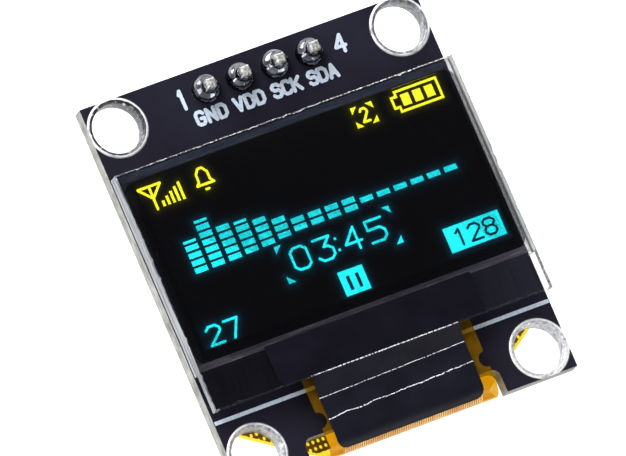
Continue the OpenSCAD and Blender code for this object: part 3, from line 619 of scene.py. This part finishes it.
# The polariser: a dark glossy film laminated on the front sheet over the
# picture, with a faint unevenness in its gloss.
film, tree, shader = new_finish("polariser_film")
shader.inputs["Base Color"].default_value = colour(4, 4, 7)
cloud = specks(tree, place_on(tree), 0.8, 4.0)
tree.links.new(ranged(tree, cloud, 0.0, 1.0, 0.03, 0.09), shader.inputs["Roughness"])
shader.inputs["Alpha"].default_value = 0.5
dress(film, "polariser_film")


# Behind the ledge: the driver, a bare sliver of silicon, and the films of
# conductive adhesive that bond it and the flexible circuit to the glass.
silicon, tree, shader = new_finish("bare_silicon")
tree.links.new(shades(tree, specks(tree, place_on(tree), 3.0), (0.3, 70, 74, 84), (0.7, 92, 96, 106)),
               shader.inputs["Base Color"])
shader.inputs["Metallic"].default_value = 0.4
shader.inputs["Roughness"].default_value = 0.2
dress(silicon, "driver_chip")

bond, tree, shader = new_finish("conductive_bond")
tree.links.new(shades(tree, specks(tree, place_on(tree), 20.0), (0.3, 120, 108, 80), (0.7, 160, 146, 110)),
               shader.inputs["Base Color"])
shader.inputs["Roughness"].default_value = 0.5
dress(bond, "chip_bond_film", "flex_bond_film")


# The flexible circuit: clear amber polyimide over copper, from the ledge round
# the board's lower edge to a soldered tail behind. Fine tracks run along it,
# and the tail carries an open copper mesh with a clear border.
def strip(name, rows, columns, thickness):
    """A sheet laid row by row: each row is a list of points across it, in millimetres."""
    bpy.ops.object.select_all(action="DESELECT")
    bpy.ops.mesh.primitive_grid_add(x_subdivisions=columns, y_subdivisions=len(rows) - 1, size=1.0)
    piece = bpy.context.object
    piece.name = name
    for index, corner in enumerate(piece.data.vertices):
        row, column = divmod(index, columns + 1)
        corner.co = Vector(rows[row][column]) * MM
    bpy.ops.object.mode_set(mode="EDIT")
    bpy.ops.mesh.select_all(action="SELECT")
    bpy.ops.mesh.normals_make_consistent(inside=False)
    bpy.ops.object.mode_set(mode="OBJECT")
    bpy.ops.object.shade_smooth()
    wall = piece.modifiers.new("wall", "SOLIDIFY")
    wall.thickness = thickness * MM
    wall.offset = 0.0
    return piece


def finish_strip(piece):
    """Applies the strip's thickness, and keeps its sharp edges sharp."""
    bpy.context.view_layer.objects.active = piece
    bpy.ops.object.modifier_apply(modifier="wall")
    bpy.ops.object.shade_smooth_by_angle(angle=math.radians(50))


def straight(y_from, y_to, z, steps):
    """A level stretch of a strip's side view, as (y, z) points."""
    return [(y_from + (y_to - y_from) * k / steps, z) for k in range(steps + 1)]


fold_y, fold_z = -12.3, 0.90
flex_front, flex_rear = 1.94, -0.14
flex_left, flex_right = -5.85, 6.45
bite_y, bite_radius = -11.18, 0.55          # a round bite out of each side, eased into the side above it
bite_ease_length, bite_ease_depth = 0.67, 0.2
tail_reach, shoulder_reach, shoulder_y = 11.1, 10.35, -10.239
shoulder_slope = math.tan(math.radians(34))
flex_columns = 110

flex_line = straight(-7.65, -12.2, flex_front, 90)
for degrees in range(0, 181, 5):
    turn = math.radians(degrees)
    flex_line.append((fold_y - 1.3 * math.sin(turn), fold_z + 1.04 * math.cos(turn)))
flex_line += straight(-12.2, -7.3, flex_rear, 60)
rows = []
for y, z in flex_line:
    if z > fold_z:
        away = y - bite_y
        bite = math.sqrt(bite_radius ** 2 - away ** 2) if abs(away) < bite_radius else 0.0
        if 0 <= away < bite_ease_length:
            bite = max(bite, bite_ease_depth * (1 - away / bite_ease_length))
        left, right = flex_left + bite, flex_right - bite
    else:
        reach = min(tail_reach, shoulder_reach + (y - shoulder_y) / shoulder_slope)
        left, right = -max(-flex_left, reach), max(flex_right, reach)
    rows.append([(left + (right - left) * c / flex_columns, y, z) for c in range(flex_columns + 1)])
flex = strip("flexible_circuit", rows, flex_columns, 0.1)
finish_strip(flex)

amber, tree, shader = new_finish("amber_polyimide")
where = place_on(tree)
at = axes(tree, where)
mottle = specks(tree, where, 2.2, 4.0, 0.6)
front = maths(tree, "GREATER_THAN", at["Z"], 0.25)
back = maths(tree, "LESS_THAN", at["Z"], 0.25)
# tracks along the middle, in groups, from the front to the fold
track = maths(tree, "PINGPONG", maths(tree, "MULTIPLY", at["X"], 6.2), 0.5)
track = ranged(tree, track, 0.16, 0.26)
group = specks(tree, place_on(tree, (700, 8, 8)), 1.0, 2.0)
inside = maths(tree, "LESS_THAN", maths(tree, "ABSOLUTE", maths(tree, "SUBTRACT", at["X"], 0.2)), 5.1)
copper = maths(tree, "MULTIPLY", maths(tree, "MULTIPLY", track, inside), front)
# round holes of the tail's copper mesh, which stops short of the sloped sides
slope_out_x, slope_out_y = 0.5592, 0.8290
slope_to_hole, clear_border = 1.17, 0.2
mesh_at = axes(tree, place_on(tree, (2700, 2200, 1000)))
round_x, round_y = (
    maths(tree, "POWER", maths(tree, "SUBTRACT", maths(tree, "PINGPONG", mesh_at[axis], 0.5), 0.5), 2.0)
    for axis in "XY")
opening = maths(tree, "LESS_THAN", maths(tree, "ADD", round_x, round_y), 0.085)
from_hole_x = maths(tree, "SUBTRACT", maths(tree, "ABSOLUTE", at["X"]), hole_side)
from_hole_y = maths(tree, "ADD", at["Y"], hole_end)
slant = maths(tree, "SUBTRACT", maths(tree, "MULTIPLY", from_hole_x, slope_out_x),
              maths(tree, "MULTIPLY", from_hole_y, slope_out_y))
aside = maths(tree, "MAXIMUM", maths(tree, "LESS_THAN", at["X"], -5.15), maths(tree, "GREATER_THAN", at["X"], 7.6))
within = maths(tree, "MULTIPLY", maths(tree, "LESS_THAN", slant, -slope_to_hole - clear_border),
               maths(tree, "GREATER_THAN", at["Y"], -12.85))
within = maths(tree, "MULTIPLY", within, aside)
mesh = maths(tree, "MULTIPLY", maths(tree, "MULTIPLY", maths(tree, "SUBTRACT", 1.0, opening), within), back)
metal = maths(tree, "MAXIMUM", copper, mesh)
bare = shades(tree, mottle, (0.3, 138, 106, 14), (0.7, 162, 128, 26))
wire = shades(tree, group, (0.35, 222, 160, 78), (0.65, 250, 210, 142))
brown = shades(tree, mottle, (0.3, 112, 54, 14), (0.7, 150, 78, 24))
tree.links.new(blend(tree, metal, bare, blend(tree, back, wire, brown)), shader.inputs["Base Color"])
shader.inputs["Roughness"].default_value = 0.22
relief(tree, shader, maths(tree, "MULTIPLY_ADD", metal, 0.6, maths(tree, "MULTIPLY", mottle, 0.4)), 0.02, 0.5)
stain = blend(tree, back, (0.985, 0.74, 0.20, 1), (0.995, 0.88, 0.22, 1))
clear = add(tree, "ShaderNodeBsdfTransparent", {"Color": stain})
cover = maths(tree, "ADD", maths(tree, "MULTIPLY_ADD", back, -0.1, 0.2), maths(tree, "MULTIPLY", metal, 0.72))
mixed = add(tree, "ShaderNodeMixShader", {0: cover, 1: clear.outputs[0], 2: shader.outputs[0]})
tree.links.new(mixed.outputs[0], tree.nodes["Material Output"].inputs["Surface"])
clothe(flex, amber)
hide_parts("flex_circuit")
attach(flex, "root")


# The cover tape: satin black film, pressed on the ledge, tented off its edge
# and laid over the flexible circuit. Each change of direction is a sharp
# crease, with a broken line of painted highlight along it.
def crease_line(left_y, right_y, seed, sway):
    """A line across the tape that wanders a little: gives y for each x."""
    def line(x):
        along = (x + 5.2) / 10.6
        wander = noise.noise((x * 0.9, seed, 0)) + 0.4 * noise.noise((x * 4.0, seed, 5))
        return left_y + (right_y - left_y) * along + sway * wander
    return line


def level_line(y):
    return lambda x: y


def between(first, second, share):
    return lambda x: first(x) + (second(x) - first(x)) * share


tape_thickness = 0.06
tape_columns = 220
crease_width = 0.014                        # as a share of the way between two creases
stations = (                                # each with its height, and 1 where the film is creased
    (level_line(-5.5), 2.67, 0),
    (crease_line(-8.39, -8.39, 1.0, 0.015), 2.67, 1),
    (crease_line(-9.85, -9.62, 2.0, 0.04), 2.03, 1),
    (crease_line(-11.31, -11.07, 3.0, 0.09), 2.075, 1),
    (level_line(fold_y), 2.03, 0))
shares = (0.0, 0.006, 0.012, 0.02, 0.03, 0.045, 0.07, 0.1, 0.15, 0.22, 0.3, 0.4, 0.5, 0.6, 0.7, 0.78, 0.85,
          0.9, 0.93, 0.955, 0.97, 0.98, 0.988, 0.994)
lines = []
for (first, first_z, first_mark), (second, second_z, second_mark) in zip(stations, stations[1:]):
    for share in shares:
        near = max(first_mark * math.exp(-(share / crease_width) ** 2),
                   second_mark * math.exp(-((1 - share) / crease_width) ** 2))
        lines.append((between(first, second, share), first_z + (second_z - first_z) * share + 0.018 * near, near))
for degrees in (*range(0, 51, 3), 52.5):
    turn = math.radians(degrees)
    lines.append((level_line(fold_y - 1.39 * math.sin(turn)), fold_z + 1.13 * math.cos(turn), 0.0))

corner_radius = 0.6
rows = []
# Each point's share of the painted highlight along the creases.
highlight_marks = []
for line, z, near in lines:
    y = line(0.0)
    if y > -8.395:                          # the wide part, on the ledge
        left, right, from_end = -7.55, 7.45, y + 8.40
    else:
        left, right, from_end = -5.23, 5.47, y + 13.40
        left -= 0.16 * max(0.0, min(1.0, (y + 9.9) / 1.5))
    inset = 0.0
    if from_end < corner_radius:
        inset = corner_radius - math.sqrt(max(0.0, corner_radius ** 2 - (corner_radius - from_end) ** 2))
    left, right = left + inset, right - inset
    row = []
    for column in range(tape_columns + 1):
        x = left + (right - left) * column / tape_columns
        here = line(x)
        ripple = 0.012 * noise.noise((x * 0.55, here * 1.3, 2.0)) * (1 - near) * (0.3 if y > -8.3 else 1.0)
        ridge = 0.006 * noise.noise((x * 9.0, here * 2.0, 7.0)) * near
        row.append((x, here, z + ripple + ridge))
        beside_the_flex = y > -9.0 and not -5.4 < x < 5.4
        highlight_marks.append(0.0 if beside_the_flex else near)
    rows.append(row)
tape = strip("cover_tape_creased", rows, tape_columns, tape_thickness)
tape.data.attributes.new("crease_highlight", "FLOAT", "POINT").data.foreach_set("value", highlight_marks)
finish_strip(tape)

black_film, tree, shader = new_finish("satin_black_tape")
where = place_on(tree)
# Painted highlight: a broken near-white line along each crease.
crease_highlight = add(tree, "ShaderNodeAttribute", attribute_name="crease_highlight").outputs["Fac"]
beads = specks(tree, place_on(tree, (8000, 1500, 1500)), 1.0, 4.0, 0.75)
broken_highlight = maths(tree, "MULTIPLY", crease_highlight, ranged(tree, beads, 0.38, 0.54, 0.42, 1.0))
painted_highlight = ranged(tree, broken_highlight, 0.45, 0.85)
cloud = specks(tree, where, 0.5, 3.0)
# Painted shade: the film on the ledge is coloured darker than the film that runs down over the flexible circuit.
lower = ranged(tree, axes(tree, where)["Y"], -8.3, -8.5)
body = blend(tree, lower, shades(tree, cloud, (0.3, 12, 11, 19), (0.7, 18, 17, 28)),
             shades(tree, cloud, (0.3, 18, 18, 26), (0.7, 26, 26, 38)))
tree.links.new(blend(tree, painted_highlight, body, colour(246, 248, 255)), shader.inputs["Base Color"])
grain = specks(tree, where, 9.0, 4.0)
tree.links.new(ranged(tree, grain, 0.0, 1.0, 0.34, 0.48), shader.inputs["Roughness"])
shader.inputs["Specular IOR Level"].default_value = 0.10
relief(tree, shader, grain, 0.004, 0.4)
clothe(tape, black_film)
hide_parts("cover_tape")
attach(tape, "root")


# The rear parts: tan ceramic chip capacitors, and chip resistors under a dark
# glassy coat, each reflowed on its two metal ends.
ceramic, tree, shader = new_finish("capacitor_ceramic")
tree.links.new(shades(tree, specks(tree, place_on(tree), 6.0), (0.3, 168, 138, 104), (0.7, 190, 160, 126)),
               shader.inputs["Base Color"])
shader.inputs["Roughness"].default_value = 0.55
dress(ceramic, "capacitor_bodies")

coat, tree, shader = new_finish("resistor_coat")
tree.links.new(shades(tree, specks(tree, place_on(tree), 6.0), (0.3, 18, 18, 20), (0.7, 34, 34, 38)),
               shader.inputs["Base Color"])
shader.inputs["Roughness"].default_value = 0.3
dress(coat, "resistor_bodies")
